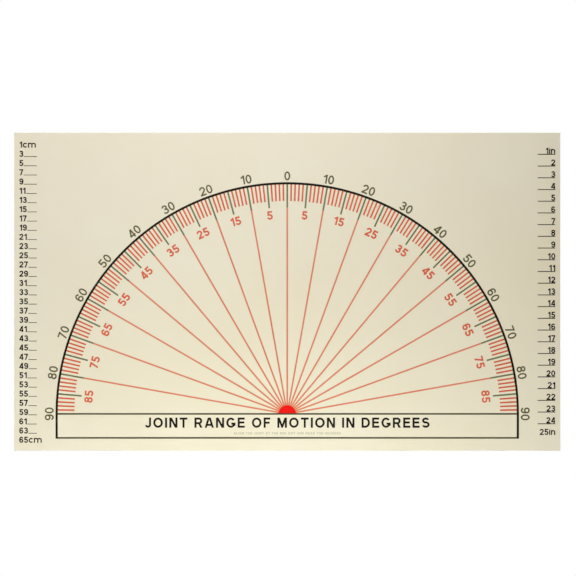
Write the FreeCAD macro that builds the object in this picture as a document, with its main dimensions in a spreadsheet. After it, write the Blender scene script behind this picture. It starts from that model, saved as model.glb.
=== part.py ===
"""Height-adjustable wall goniometer.

A flat printed board carries a half-circle degree scale and two length rulers. Behind it, a wall frame of
two bars and two lipped C-channel tracks stays on the wall. Four acetal glides run in the tracks and carry
the board up and down. A screw clamp on each side, reached behind the board's edge, locks it at its height.

Frame: X to the right, Z up, Y = 0 on the wall, and the printed face looks along -Y. The origin is the
centre of the wall bolt pattern, level with the board's middle at rest. Millimetres.
"""

import math
import os

import FreeCAD
import Part
import Sketcher
from FreeCAD import Placement, Rotation, Vector

# Driving dimensions: alias, value in millimetres (or a plain count), and what it is.
DIMENSIONS = [
    ("board_width", 1184, "printed board, left to right"),
    ("board_height", 690, "printed board, top to bottom"),
    ("core_depth", 10.4, "wood-fibre core of the board"),
    ("sheet_depth", 0.8, "each laminate sheet on the core"),
    ("edge_band", 1, "edge band round the core"),
    ("ink_depth", 0.12, "printed ink, drawn thick enough to be a solid"),
    ("bar_length", 1060, "wall bar"),
    ("bar_height", 40, "wall bar"),
    ("bar_depth", 5, "wall bar"),
    ("bar_level", 230, "wall bars above and below the origin"),
    ("stud_spacing", 406.4, "wall studs at 16 inch centres"),
    ("anchor_spacing", 1020, "outer wall anchors, centre to centre"),
    ("wall_hole_radius", 3.5, "hole for a 6 mm wall screw"),
    ("bar_corner", 4, "wall bar's rounded corners"),
    ("track_spread", 470, "each track's centre from the middle"),
    ("track_width", 40, "C-channel"),
    ("track_depth", 24, "C-channel"),
    ("track_wall", 2.5, "C-channel"),
    ("track_slot", 14, "C-channel's open front"),
    ("track_length", 640, "C-channel"),
    ("track_corner", 0.8, "C-channel's outer long edges"),
    ("spacer_length", 10, "holds a track off its bar"),
    ("spacer_radius", 8, "outside of a spacer"),
    ("track_screw_step", 10, "track screws above and below a bar's middle"),
    ("track_screw_radius", 3, "M6 screws between tracks and bars"),
    ("glide_length", 40, "acetal glide"),
    ("glide_depth", 11, "part of a glide behind the lips"),
    ("glide_spread", 80, "glides above and below the carriage's middle"),
    ("glide_screw_step", 12, "screws above and below a glide's middle"),
    ("glide_corner", 1.5, "rounded ends of a glide"),
    ("slide_gap", 0.3, "clearance between a glide and its track"),
    ("carriage_gap", 3, "between a track's front and its carriage"),
    ("carriage_depth", 23, "hat-section carriage, web to flange"),
    ("carriage_length", 220, "hat-section carriage"),
    ("carriage_web", 56, "across the hat's web"),
    ("carriage_flanges", 100, "across the hat's flanges"),
    ("sheet_metal", 2.5, "carriage steel"),
    ("bend_radius", 2, "outside of a carriage's bends"),
    ("flange_screw_inset", 11, "flange screws in from the flange's edge"),
    ("flange_screw_far", 95, "outer flange screws above and below the middle"),
    ("flange_screw_near", 32, "inner flange screws above and below the middle"),
    ("board_screw_radius", 2.5, "M5 screws into the board, the glides and the clamp blocks"),
    ("insert_radius", 4, "hole for a brass insert in the board's core"),
    ("insert_length", 8, "brass insert"),
    ("stiffener_length", 1000, "aluminium channel on the board's back"),
    ("stiffener_height", 25, "aluminium channel"),
    ("stiffener_depth", 15, "aluminium channel"),
    ("stiffener_wall", 2, "aluminium channel"),
    ("stiffener_level", 250, "stiffeners above and below the middle"),
    ("stop_plate", 3, "end stop's outer plate"),
    ("stop_plug", 12, "end stop's plug inside the track"),
    ("stop_corner", 1.2, "rounded outer edges of an end stop"),
    ("stop_screw_radius", 1.5, "M3 screws through a track's sides into its end stops"),
    ("bumper_width", 26, "rubber bumper on an end stop"),
    ("bumper_height", 7.5, "rubber bumper on an end stop"),
    ("clamp_level", 29, "clamp screw's axis in front of the wall"),
    ("clamp_gap", 8, "between a track's side and its clamp block"),
    ("clamp_block_width", 16, "clamp block along the screw"),
    ("clamp_block_height", 30, "clamp block, up and down"),
    ("clamp_block_back", 19, "clamp block's back in front of the wall"),
    ("clamp_block_front", 60, "clamp block's front in front of the wall"),
    ("clamp_block_corner", 6, "clamp block's rounded back corners"),
    ("clamp_bolt_level", 53, "clamp block's bolts in front of the wall"),
    ("clamp_bolt_step", 9, "clamp block's bolts above and below its middle"),
    ("clamp_screw_radius", 4, "M8 clamp screw"),
    ("clamp_pad_radius", 7, "brass pad that bears on the track"),
    ("clamp_pad_depth", 4, "brass pad"),
    ("clamp_nose_radius", 3, "plain end of the clamp screw, seated in its pad"),
    ("clamp_bury", 14, "clamp screw's length inside its knob"),
    ("knob_radius", 18, "star knob"),
    ("knob_hub_radius", 9, "star knob's hub"),
    ("knob_hub_length", 5, "star knob's hub"),
    ("knob_grip_length", 13, "star knob's grip"),
    ("knob_lobes", 5, "star knob"),
    ("knob_cap_radius", 6, "recess for the star knob's cover cap"),
    ("dial_radius", 500, "middle of the dial's outline"),
    ("dial_line", 4.8, "width of the outline"),
    ("dial_drop", 265, "dial's centre below the board's middle"),
    ("band_height", 52, "title band under the dial"),
    ("band_line", 3.4, "width of the title band's long lines"),
    ("tick_line", 3.5, "width of a tick or spoke"),
    ("degree_tick", 36, "length of a one-degree tick"),
    ("five_tick", 50, "length of a five-degree tick"),
    ("centre_mark", 19, "radius of the red half disc"),
    ("outer_numerals", 516, "radius of the middle of the outer numerals"),
    ("inner_numerals", 432, "radius of the middle of the inner numerals"),
    ("numeral_height", 19.5, "digits outside the dial's outline"),
    ("inner_numeral_height", 18.5, "digits inside the dial's outline"),
    ("ruler_numeral_height", 13.2, "digits on the rulers"),
    ("ruler_inset", 11, "ruler lines in from the board's edge"),
    ("ruler_line_length", 38, "from a number's outer end to its line's inner end"),
    ("centimetre_line", 1.3, "width of a line of the centimetre ruler"),
    ("inch_line", 1.8, "width of a line of the inch ruler"),
    ("ruler_drop", 7, "rulers' middle below the board's middle"),
    ("title_height", 22, "capitals of the title"),
    ("title_level", 19, "title's middle below the band's upper line"),
    ("note_height", 5.2, "capitals of the small line under the title"),
    ("note_level", 42, "small line's middle below the band's upper line"),
]

doc = FreeCAD.newDocument("wall_goniometer")
dims = doc.addObject("Spreadsheet::Sheet", "dims")
for row, (alias, value, note) in enumerate(DIMENSIONS, start=1):
    dims.set(f"A{row}", alias)
    dims.set(f"B{row}", str(value))
    dims.set(f"C{row}", note)
    dims.setAlias(f"B{row}", alias)
doc.recompute()

# Distances in front of the wall, as expressions over the sheet.
TRACK_BACK = "(dims.bar_depth + dims.spacer_length)"
TRACK_FRONT = f"({TRACK_BACK} + dims.track_depth)"
WEB_BACK = f"({TRACK_FRONT} + dims.carriage_gap)"
BOARD_BACK = f"({WEB_BACK} + dims.carriage_depth)"
CORE_BACK = f"({BOARD_BACK} + dims.sheet_depth)"
CORE_FRONT = f"({CORE_BACK} + dims.core_depth)"
BOARD_FRONT = f"({CORE_FRONT} + dims.sheet_depth)"
# Distances above the origin.
STOP_LEVEL = "(dims.track_length / 2 - dims.stop_plug / 2)"
# Offsets of a flange screw from its track's middle.
FLANGE_SCREW = "(dims.carriage_flanges / 2 - dims.flange_screw_inset)"

SIDES = {"left": -1, "right": 1}
LEVELS = {"lower": -1, "upper": 1}
STIFFENER_SCREWS = (-460, -280, -90, 90, 280, 460)
# Radial gaps: round a screw in a clear hole, round a screw in its thread, and round a part pressed in.
CLEAR_HOLE = 0.25
THREAD_GAP = 0.08
PRESS_GAP = 0.02
# Directions.
X_AXIS, Y_AXIS, Z_AXIS = Vector(1, 0, 0), Vector(0, 1, 0), Vector(0, 0, 1)
SIGNS = (-1, 1)
CENTIMETRE, INCH = 10, 25.4
MADE = []


def size(expression):
    """The value of an expression over the sheet, for the pieces that are not bound to it by expressions."""
    return float(dims.evalExpression(expression))


def cell(alias):
    return float(dims.get(alias))


# ---------------------------------------------------------------- document helpers


def keep(piece, label):
    """Registers a finished sub-part under its label."""
    piece.Label = label
    MADE.append(piece)
    return piece


def place(piece, x="0", y="0", z="0"):
    for axis, expression in zip("xyz", (x, y, z)):
        piece.setExpression(f"Placement.Base.{axis}", expression)


def new_body(label):
    return keep(doc.addObject("PartDesign::Body", label), label)


def new_sketch(body, plane):
    """A sketch on one of the body's own origin planes: XY_Plane, XZ_Plane (seen from -Y) or YZ_Plane."""
    support = next(f for f in body.Origin.OriginFeatures if f.Role == plane)
    sketch = body.newObject("Sketcher::SketchObject", f"{body.Name}_{plane}")
    sketch.AttachmentSupport = (support, [""])
    sketch.MapMode = "FlatFace"
    return sketch


def bind_point(sketch, geometry, point, x, y, name):
    """Holds one point of a sketch at expressions x and y from the sketch's origin."""
    for kind, axis, expression in (("DistanceX", "x", x), ("DistanceY", "y", y)):
        where = Sketcher.Constraint(kind, -1, 1, geometry, point, size(expression))
        sketch.renameConstraint(sketch.addConstraint(where), f"{axis}_{name}")
        sketch.setExpression(f"Constraints.{axis}_{name}", expression)


def polygon(body, plane, corners):
    """A closed outline whose corners are pairs of expressions."""
    sketch = new_sketch(body, plane)
    points = [Vector(size(x), size(y), 0) for x, y in corners]
    for start, end in zip(points, points[1:] + points[:1]):
        sketch.addGeometry(Part.LineSegment(start, end), False)
    for i in range(len(corners)):
        sketch.addConstraint(Sketcher.Constraint("Coincident", i, 2, (i + 1) % len(corners), 1))
    for i, (x, y) in enumerate(corners):
        bind_point(sketch, i, 1, x, y, str(i))
    return sketch


def circles(body, plane, centres, radius):
    """Circles of one radius, their centres pairs of expressions."""
    sketch = new_sketch(body, plane)
    for i, (x, y) in enumerate(centres):
        middle = Vector(size(x), size(y), 0)
        sketch.addGeometry(Part.Circle(middle, Vector(0, 0, 1), size(radius)), False)
        bind_point(sketch, i, 3, x, y, f"c{i}")
        where = sketch.addConstraint(Sketcher.Constraint("Radius", i, size(radius)))
        sketch.renameConstraint(where, f"radius_{i}")
        sketch.setExpression(f"Constraints.radius_{i}", radius)
    return sketch


def pad(body, sketch, length, symmetric=False, backwards=False):
    """Extrudes a sketch along its normal: +Z from XY_Plane, -Y from XZ_Plane, +X from YZ_Plane."""
    step = body.newObject("PartDesign::Pad", f"{body.Name}_pad")
    step.Profile = sketch
    step.SideType = "Symmetric" if symmetric else "One side"
    step.Reversed = backwards
    step.setExpression("Length", length)
    return step


def drill(body, sketch):
    """Cuts a sketch right through the body, both ways from its plane."""
    doc.recompute()
    before = body.Shape.Volume
    step = body.newObject("PartDesign::Pocket", f"{body.Name}_holes")
    step.Profile = sketch
    step.Type = "ThroughAll"
    step.SideType = "Symmetric"
    doc.recompute()
    if body.Shape.Volume >= before:
        raise RuntimeError(f"{step.Name} cut nothing")
    return step


def sink(body, sketch, start, depth):
    """Cuts a pocket of that depth, going along the sketch's normal from that far along it."""
    doc.recompute()
    before = body.Shape.Volume
    sketch.AttachmentOffset = Placement(Vector(0, 0, size(start)), Rotation())
    sketch.setExpression("AttachmentOffset.Base.z", start)
    step = body.newObject("PartDesign::Pocket", f"{body.Name}_pocket")
    step.Profile = sketch
    step.Reversed = True
    step.setExpression("Length", depth)
    doc.recompute()
    if body.Shape.Volume >= before:
        raise RuntimeError(f"{step.Name} cut nothing")
    return step


def round_edges(body, radius, wanted):
    """Fillets the edges of the body's present shape for which wanted(edge) is true."""
    doc.recompute()
    base = body.Tip
    names = [f"Edge{i}" for i, edge in enumerate(base.Shape.Edges, start=1) if wanted(edge)]
    step = body.newObject("PartDesign::Fillet", f"{body.Name}_fillet")
    step.Base = (base, names)
    step.Radius = radius
    return step


def along(edge, axis):
    """True for a straight edge that runs along that axis."""
    if edge.Curve.TypeId != "Part::GeomLine":
        return False
    return abs(abs(edge.tangentAt(edge.FirstParameter).dot(axis)) - 1) < 1e-6


def box(label, length, depth, height, x, y, z):
    """A plain cuboid: its sizes along X, Y and Z, and its lowest corner, as expressions."""
    piece = doc.addObject("Part::Box", label)
    piece.setExpression("Length", length)
    piece.setExpression("Width", depth)
    piece.setExpression("Height", height)
    place(piece, x, y, z)
    return piece


def drilled_box(label, block, centres, radius):
    """A box with round holes along Y; the centres are (x, z) pairs in millimetres."""
    pins = []
    for i, (x, z) in enumerate(centres):
        pin = doc.addObject("Part::Cylinder", f"{label}_hole_{i}")
        pin.setExpression("Radius", radius)
        pin.Height = 2 * size(BOARD_FRONT)
        pin.Placement = Placement(Vector(x, 0, z), Rotation(Vector(1, 0, 0), 90))
        pins.append(pin)
    group = doc.addObject("Part::Compound", f"{label}_holes")
    group.Links = pins
    cut = doc.addObject("Part::Cut", label)
    cut.Base = block
    cut.Tool = group
    return keep(cut, label)


def feature(label, shapes):
    """A sub-part made with Part's own functions: one shape, or a group of separate solids."""
    piece = doc.addObject("Part::Feature", label)
    piece.Shape = Part.makeCompound(shapes)
    piece.Placement = Placement()
    return keep(piece, label)


def grid(xs, zs):
    return [(x, z) for x in xs for z in zs]


def both_ways(value):
    return (-value, value)


# ---------------------------------------------------------------- wall frame


def wall_bars():
    """Two flat steel bars that are screwed to the wall and carry the tracks."""
    reach, half = "dims.bar_length / 2", "dims.bar_height / 2"
    for level, sign in LEVELS.items():
        body = new_body(f"{level}_wall_bar")
        corners = [(f"-{reach}", f"-{half}"), (reach, f"-{half}"), (reach, half), (f"-{reach}", half)]
        pad(body, polygon(body, "XZ_Plane", corners), "dims.bar_depth")
        wall_holes = []
        for spacing in ("dims.stud_spacing", "dims.anchor_spacing"):
            wall_holes += [(f"-{spacing} / 2", "0"), (f"{spacing} / 2", "0")]
        drill(body, circles(body, "XZ_Plane", wall_holes, "dims.wall_hole_radius"))
        tapped = []
        for x in ("-dims.track_spread", "dims.track_spread"):
            tapped += [(x, "-dims.track_screw_step"), (x, "dims.track_screw_step")]
        drill(body, circles(body, "XZ_Plane", tapped, f"dims.track_screw_radius + {THREAD_GAP}"))
        end = cell("bar_length") / 2 - 1
        round_edges(body, cell("bar_corner"), lambda e: along(e, Y_AXIS) and abs(e.CenterOfMass.x) > end)
        place(body, z=f"{sign} * dims.bar_level")


def tracks():
    """Lipped C-channels, open towards the board."""
    half, slot = "dims.track_width / 2", "dims.track_slot / 2"
    inner = f"({half} - dims.track_wall)"
    floor, lip = "-dims.track_wall", "-(dims.track_depth - dims.track_wall)"
    front = "-dims.track_depth"
    section = [
        (f"-{half}", "0"), (f"-{half}", front), (f"-{slot}", front), (f"-{slot}", lip), (f"-{inner}", lip),
        (f"-{inner}", floor), (inner, floor), (inner, lip), (slot, lip), (slot, front), (half, front),
        (half, "0"),
    ]  # fmt: skip
    screws = [
        ("0", f"{bar} * dims.bar_level + {way} * dims.track_screw_step") for bar in SIGNS for way in SIGNS
    ]
    stop_screws = [("-dims.track_depth / 2", f"{sign} * {STOP_LEVEL}") for sign in SIGNS]
    for side, sign in SIDES.items():
        body = new_body(f"{side}_track")
        pad(body, polygon(body, "XY_Plane", section), "dims.track_length", symmetric=True)
        drill(body, circles(body, "XZ_Plane", screws, f"dims.track_screw_radius + {CLEAR_HOLE}"))
        drill(body, circles(body, "YZ_Plane", stop_screws, f"dims.stop_screw_radius + 3 * {CLEAR_HOLE}"))
        outer = cell("track_width") / 2 - 0.1
        round_edges(body, cell("track_corner"), lambda e: along(e, Z_AXIS) and abs(e.CenterOfMass.x) > outer)
        place(body, f"{sign} * dims.track_spread", f"-{TRACK_BACK}")


def end_stops():
    """Moulded plugs that close the track ends, each with a rubber bumper for the glides."""
    half_wide, half_deep = "dims.track_width / 2", "dims.track_depth / 2"
    plug_wide = "(dims.track_width / 2 - dims.track_wall - dims.slide_gap)"
    plug_deep = "(dims.track_depth / 2 - dims.track_wall - dims.slide_gap)"
    for side, sign in SIDES.items():
        for level, up in LEVELS.items():
            body = new_body(f"{side}_{level}_stop")
            plate = [
                (f"-{half_wide}", f"-{half_deep}"), (half_wide, f"-{half_deep}"),
                (half_wide, half_deep), (f"-{half_wide}", half_deep),
            ]  # fmt: skip
            pad(body, polygon(body, "XY_Plane", plate), "dims.stop_plate")
            plug = [
                (f"-{plug_wide}", f"-{plug_deep}"), (plug_wide, f"-{plug_deep}"),
                (plug_wide, plug_deep), (f"-{plug_wide}", plug_deep),
            ]  # fmt: skip
            pad(body, polygon(body, "XY_Plane", plug), "dims.stop_plug", backwards=True)
            hole = f"dims.stop_screw_radius + {THREAD_GAP}"
            drill(body, circles(body, "YZ_Plane", [("0", "-dims.stop_plug / 2")], hole))
            top = cell("stop_plate") - 0.01
            round_edges(body, cell("stop_corner"), lambda e: e.BoundBox.ZMin > top)
            body.Placement = Placement(Vector(), Rotation(Y_AXIS, 0 if up > 0 else 180))
            place(
                body,
                f"{sign} * dims.track_spread",
                f"-({TRACK_BACK} + dims.track_depth / 2)",
                f"{up} * dims.track_length / 2",
            )


def bumpers():
    """Rubber pads on the plugs, in line with the glides' heads."""
    wide, tall = cell("bumper_width"), cell("bumper_height")
    deep = cell("glide_depth") - 1
    middle = size(f"{TRACK_FRONT} - dims.track_wall - dims.slide_gap - dims.glide_depth / 2")
    top = size("dims.track_length / 2 - dims.stop_plug")
    pads = []
    for x, up in grid(both_ways(cell("track_spread")), SIGNS):
        block = Part.makeBox(wide, deep, tall, Vector(-wide / 2, -deep / 2, -tall))
        block = block.makeFillet(2, [e for e in block.Edges if e.BoundBox.ZMax < -tall + 0.01])
        if up < 0:
            block.rotate(Vector(), Y_AXIS, 180)
        block.translate(Vector(x, -middle, up * top))
        pads.append(block)
    feature("stop_bumpers", pads)


# ---------------------------------------------------------------- fasteners


def hex_socket(across, depth):
    """A hexagonal bit recess from z = 0 downwards."""
    first = X_AXIS * (across / math.sqrt(3))
    corners = [Rotation(Z_AXIS, 60 * i).multVec(first) for i in range(6)]
    return Part.Face(Part.makePolygon(corners + corners[:1])).extrude(Vector(0, 0, -depth))


def cross_recess(width, depth):
    """A cross-shaped bit recess from z = 0 downwards, its arms a fifth of its width."""
    arms = [Part.makeBox(width, width / 5, depth, Vector(-width / 2, -width / 10, -depth))]
    arms.append(Part.makeBox(width / 5, width, depth, Vector(-width / 10, -width / 2, -depth)))
    return arms[0].fuse(arms[1])


def button_screw(shank, length, head, head_height):
    """A domed hexagon-socket screw, its shank down from z = 0 and its head above."""
    crown, tip = head * 0.55, 0.4
    rim, top = Vector(head, 0, 0), Vector(crown, 0, head_height)
    shoulder = Vector((head + crown) / 2 * 1.04, 0, head_height * 0.64)
    outline = [
        Vector(0, 0, head_height), Vector(0, 0, -length), Vector(shank - tip, 0, -length),
        Vector(shank, 0, -length + tip), Vector(shank, 0, 0), rim,
    ]  # fmt: skip
    edges = [Part.makeLine(a, b) for a, b in zip(outline, outline[1:])]
    edges += [Part.Arc(rim, shoulder, top).toShape(), Part.makeLine(top, outline[0])]
    turned = Part.Face(Part.Wire(edges)).revolve(Vector(), Z_AXIS, 360)
    socket = hex_socket(head * 0.72, head_height * 0.62)
    socket.translate(Vector(0, 0, head_height))
    return turned.cut(socket)


def top_edges(shape, height):
    return [edge for edge in shape.Edges if edge.BoundBox.ZMin > height - 0.01]


def pan_screw(shank, length, head, head_height):
    """A pan-head screw with a cross recess, its shank down from z = 0 and its head above."""
    body = Part.makeCylinder(head, head_height)
    body = body.makeFillet(head_height * 0.45, top_edges(body, head_height))
    body = body.fuse(Part.makeCylinder(shank, length, Vector(0, 0, -length))).removeSplitter()
    recess = cross_recess(head * 1.05, head_height * 0.6)
    recess.translate(Vector(0, 0, head_height))
    return body.cut(recess)


def cap_screw(shank, length, head, head_height):
    """A cylindrical hexagon-socket screw, its shank down from z = 0 and its head above."""
    body = Part.makeCylinder(head, head_height)
    body = body.makeChamfer(0.4, top_edges(body, head_height))
    body = body.fuse(Part.makeCylinder(shank, length, Vector(0, 0, -length))).removeSplitter()
    socket = hex_socket(head * 0.94, head_height * 0.55)
    socket.translate(Vector(0, 0, head_height))
    return body.cut(socket)


def copies(master, places, direction):
    """Copies of a screw at places, its head pointing along direction."""
    turn = Rotation(Z_AXIS, direction)
    shapes = []
    for spot in places:
        shape = master.copy()
        shape.Placement = Placement(Vector(*spot), turn)
        shapes.append(shape)
    return shapes


def board_screw_places():
    """(x, z) of the screws into the board: those of the carriages, then those of the stiffeners."""
    spread, offset = cell("track_spread"), size(FLANGE_SCREW)
    xs = [side * spread + way * offset for side in SIGNS for way in SIGNS]
    levels = [sign * cell(f"flange_screw_{row}") for sign in SIGNS for row in ("far", "near")]
    return grid(xs, levels), grid(STIFFENER_SCREWS, both_ways(cell("stiffener_level")))


def track_fasteners():
    """The screws and spacers between tracks and bars, and the screws that hold the end stops."""
    spread, radius = cell("track_spread"), cell("track_screw_radius")
    levels = [bar * cell("bar_level") + way * cell("track_screw_step") for bar in SIGNS for way in SIGNS]
    seat = size(f"{TRACK_BACK} + dims.track_wall")
    screw = button_screw(radius, seat - 0.5, radius * 1.75, radius * 1.1)
    spots = [(x, -seat, z) for x, z in grid(both_ways(spread), levels)]
    feature("track_screws", copies(screw, spots, -Y_AXIS))
    tube = Part.makeCylinder(cell("spacer_radius"), cell("spacer_length"))
    tube = tube.cut(Part.makeCylinder(radius + CLEAR_HOLE, cell("spacer_length")))
    spots = [(x, -cell("bar_depth"), z) for x, z in grid(both_ways(spread), levels)]
    feature("track_spacers", copies(tube, spots, -Y_AXIS))
    small = pan_screw(cell("stop_screw_radius"), 9, 3.4, 2.2)
    level, depth = size(STOP_LEVEL), size(f"{TRACK_BACK} + dims.track_depth / 2")
    made = []
    for way in SIGNS:
        face = way * cell("track_width") / 2
        spots = [(x + face, -depth, z) for x, z in grid(both_ways(spread), both_ways(level))]
        made += copies(small, spots, X_AXIS * way)
    feature("stop_screws", made)


def board_fasteners():
    """Brass inserts in the core, and the screws of the carriages, stiffeners, glides and clamp blocks."""
    carriage, stiffener = board_screw_places()
    radius, length = cell("board_screw_radius"), cell("insert_length")
    insert = Part.makeCylinder(cell("insert_radius") - PRESS_GAP, length)
    insert = insert.cut(Part.makeCylinder(radius + THREAD_GAP, length))
    spots = [(x, -size(CORE_BACK), z) for x, z in carriage + stiffener]
    feature("board_inserts", copies(insert, spots, -Y_AXIS))

    head, head_height = radius * 1.9, radius * 1.2
    screw = pan_screw(radius, 9.5, head, head_height)
    seat = size(f"{BOARD_BACK} - dims.sheet_metal")
    feature("carriage_screws", copies(screw, [(x, -seat, z) for x, z in carriage], Y_AXIS))
    seat = size(f"{BOARD_BACK} - dims.stiffener_wall")
    feature("stiffener_screws", copies(screw, [(x, -seat, z) for x, z in stiffener], Y_AXIS))

    seat = size(f"{WEB_BACK} + dims.sheet_metal")
    levels = [up * cell("glide_spread") + way * cell("glide_screw_step") for up in SIGNS for way in SIGNS]
    spots = [(x, -seat, z) for x, z in grid(both_ways(cell("track_spread")), levels)]
    feature("glide_screws", copies(pan_screw(radius, 13, head, head_height), spots, -Y_AXIS))

    reach = size("dims.track_width / 2 + dims.clamp_gap - dims.sheet_metal") + cell("track_spread")
    bolt = cap_screw(radius, 12, radius * 1.7, radius * 2)
    made = []
    for way in SIGNS:
        spots = [(way * reach, -cell("clamp_bolt_level"), z) for z in both_ways(cell("clamp_bolt_step"))]
        made += copies(bolt, spots, X_AXIS * -way)
    feature("clamp_block_screws", made)


# ---------------------------------------------------------------- board


def board_layers():
    """Core, a laminate sheet on each face, and an edge band on each side."""
    inside_x = "(dims.board_width - 2 * dims.edge_band)"
    inside_z = "(dims.board_height - 2 * dims.edge_band)"
    carriage, stiffener = board_screw_places()
    holes = carriage + stiffener
    corner = (f"-{inside_x} / 2", f"-{inside_z} / 2")
    core = box("core_blank", inside_x, "dims.core_depth", inside_z, corner[0], f"-{CORE_FRONT}", corner[1])
    pin = Part.makeCylinder(cell("insert_radius"), cell("insert_length") + 0.5)
    spots = [(x, -size(CORE_BACK), z) for x, z in holes]
    sockets = doc.addObject("Part::Feature", "insert_sockets")
    sockets.Shape = Part.makeCompound(copies(pin, spots, -Y_AXIS))
    drilled = doc.addObject("Part::Cut", "board_core")
    drilled.Base = core
    drilled.Tool = sockets
    keep(drilled, "board_core")
    back = box("back_blank", inside_x, "dims.sheet_depth", inside_z, corner[0], f"-{CORE_BACK}", corner[1])
    drilled_box("back_sheet", back, holes, f"dims.board_screw_radius + {CLEAR_HOLE}")
    face = box("face_sheet", inside_x, "dims.sheet_depth", inside_z, corner[0], f"-{BOARD_FRONT}", corner[1])
    keep(face, "face_sheet")
    edge_bands(inside_x)


def edge_bands(inside_x):
    """Bands as deep as the board, their long outer edges rounded over."""
    deep, band = f"({BOARD_FRONT} - {BOARD_BACK})", "dims.edge_band"
    for side, sign in SIDES.items():
        x = f"{sign} * (dims.board_width - {band}) / 2"
        outer = sign * cell("edge_band") / 2
        strip(f"{side}_edge_band", band, "dims.board_height", deep, Z_AXIS, outer, x, "0")
    for label, sign in {"bottom_edge_band": -1, "top_edge_band": 1}.items():
        z = f"{sign} * (dims.board_height - {band}) / 2"
        outer = sign * cell("edge_band") / 2
        strip(label, inside_x, band, deep, X_AXIS, outer, "0", z)


def strip(label, wide, tall, deep, axis, outer, x, z):
    """One band along an axis, its face at that offset from the band's middle being the board's outside."""
    body = new_body(label)
    corners = [(f"{a} * {wide} / 2", f"{b} * {tall} / 2") for a, b in ((-1, -1), (1, -1), (1, 1), (-1, 1))]
    pad(body, polygon(body, "XZ_Plane", corners), deep)

    def is_outer(edge):
        middle = edge.CenterOfMass
        off = middle.x - outer if axis == Z_AXIS else middle.z - outer
        return along(edge, axis) and abs(off) < 1e-6

    round_edges(body, cell("edge_band") / 2, is_outer)
    place(body, x, f"-{BOARD_BACK}", z)


def stiffeners():
    """Aluminium U-channels that keep the board flat, open towards the wall."""
    half, wall = "dims.stiffener_height / 2", "dims.stiffener_wall"
    inner, tip = f"({half} - {wall})", "dims.stiffener_depth"
    section = [
        ("0", f"-{half}"), (tip, f"-{half}"), (tip, f"-{inner}"), (wall, f"-{inner}"),
        (wall, inner), (tip, inner), (tip, half), ("0", half),
    ]  # fmt: skip
    for level, sign in LEVELS.items():
        body = new_body(f"{level}_stiffener")
        pad(body, polygon(body, "YZ_Plane", section), "dims.stiffener_length", symmetric=True)
        holes = [(str(x), "0") for x in STIFFENER_SCREWS]
        drill(body, circles(body, "XZ_Plane", holes, f"dims.board_screw_radius + {CLEAR_HOLE}"))
        place(body, y=f"-{BOARD_BACK}", z=f"{sign} * dims.stiffener_level")


# ---------------------------------------------------------------- carriages and glides


def clamp_bolt_centres():
    """Centres of a clamp block's bolts on the YZ plane."""
    return [("-dims.clamp_bolt_level", f"{way} * dims.clamp_bolt_step") for way in SIGNS]


def carriages():
    """Bent-steel hat sections between the glides and the board."""
    web, flange, steel = "dims.carriage_web / 2", "dims.carriage_flanges / 2", "dims.sheet_metal"
    inner = f"({web} - {steel})"
    web_front = f"-({WEB_BACK} + {steel})"
    flange_back = f"-({BOARD_BACK} - {steel})"
    section = [
        (f"-{flange}", f"-{BOARD_BACK}"), (f"-{inner}", f"-{BOARD_BACK}"), (f"-{inner}", web_front),
        (inner, web_front), (inner, f"-{BOARD_BACK}"), (flange, f"-{BOARD_BACK}"), (flange, flange_back),
        (web, flange_back), (web, f"-{WEB_BACK}"), (f"-{web}", f"-{WEB_BACK}"), (f"-{web}", flange_back),
        (f"-{flange}", flange_back),
    ]  # fmt: skip
    holes = [
        (f"{way} * {FLANGE_SCREW}", f"{up} * dims.flange_screw_{row}")
        for way in SIGNS
        for up in SIGNS
        for row in ("far", "near")
    ]
    holes += [
        ("0", f"{up} * dims.glide_spread + {way} * dims.glide_screw_step") for up in SIGNS for way in SIGNS
    ]
    clear = f"dims.board_screw_radius + {CLEAR_HOLE}"
    bend, web_face = cell("carriage_web") / 2, -size(WEB_BACK)

    def is_bend(edge):
        middle = edge.CenterOfMass
        return along(edge, Z_AXIS) and abs(abs(middle.x) - bend) < 0.01 and abs(middle.y - web_face) < 0.01

    for side, sign in SIDES.items():
        body = new_body(f"{side}_carriage")
        pad(body, polygon(body, "XY_Plane", section), "dims.carriage_length", symmetric=True)
        drill(body, circles(body, "XZ_Plane", holes, clear))
        drill(body, circles(body, "YZ_Plane", clamp_bolt_centres(), clear))
        round_edges(body, cell("bend_radius"), is_bend)
        place(body, f"{sign} * dims.track_spread")


def glides():
    """T-shaped acetal blocks: a head behind the track's lips and a neck out to the carriage."""
    head = "(dims.track_width / 2 - dims.track_wall - dims.slide_gap)"
    neck = "(dims.track_slot / 2 - dims.slide_gap)"
    near = "(dims.track_wall + dims.slide_gap)"
    far = f"({near} + dims.glide_depth)"
    section = [
        (f"-{neck}", "-dims.carriage_gap"), (neck, "-dims.carriage_gap"), (neck, near), (head, near),
        (head, far), (f"-{head}", far), (f"-{head}", near), (f"-{neck}", near),
    ]  # fmt: skip
    for side, sign in SIDES.items():
        for level, up in LEVELS.items():
            body = new_body(f"{side}_{level}_glide")
            pad(body, polygon(body, "XY_Plane", section), "dims.glide_length", symmetric=True)
            holes = [("0", "-dims.glide_screw_step"), ("0", "dims.glide_screw_step")]
            drill(body, circles(body, "XZ_Plane", holes, f"dims.board_screw_radius + {THREAD_GAP}"))
            end = cell("glide_length") / 2
            round_edges(body, cell("glide_corner"), lambda e: abs(abs(e.CenterOfMass.z) - end) < 1e-6)
            place(body, f"{sign} * dims.track_spread", f"-{TRACK_FRONT}", f"{up} * dims.glide_spread")


# ---------------------------------------------------------------- clamps


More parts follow.
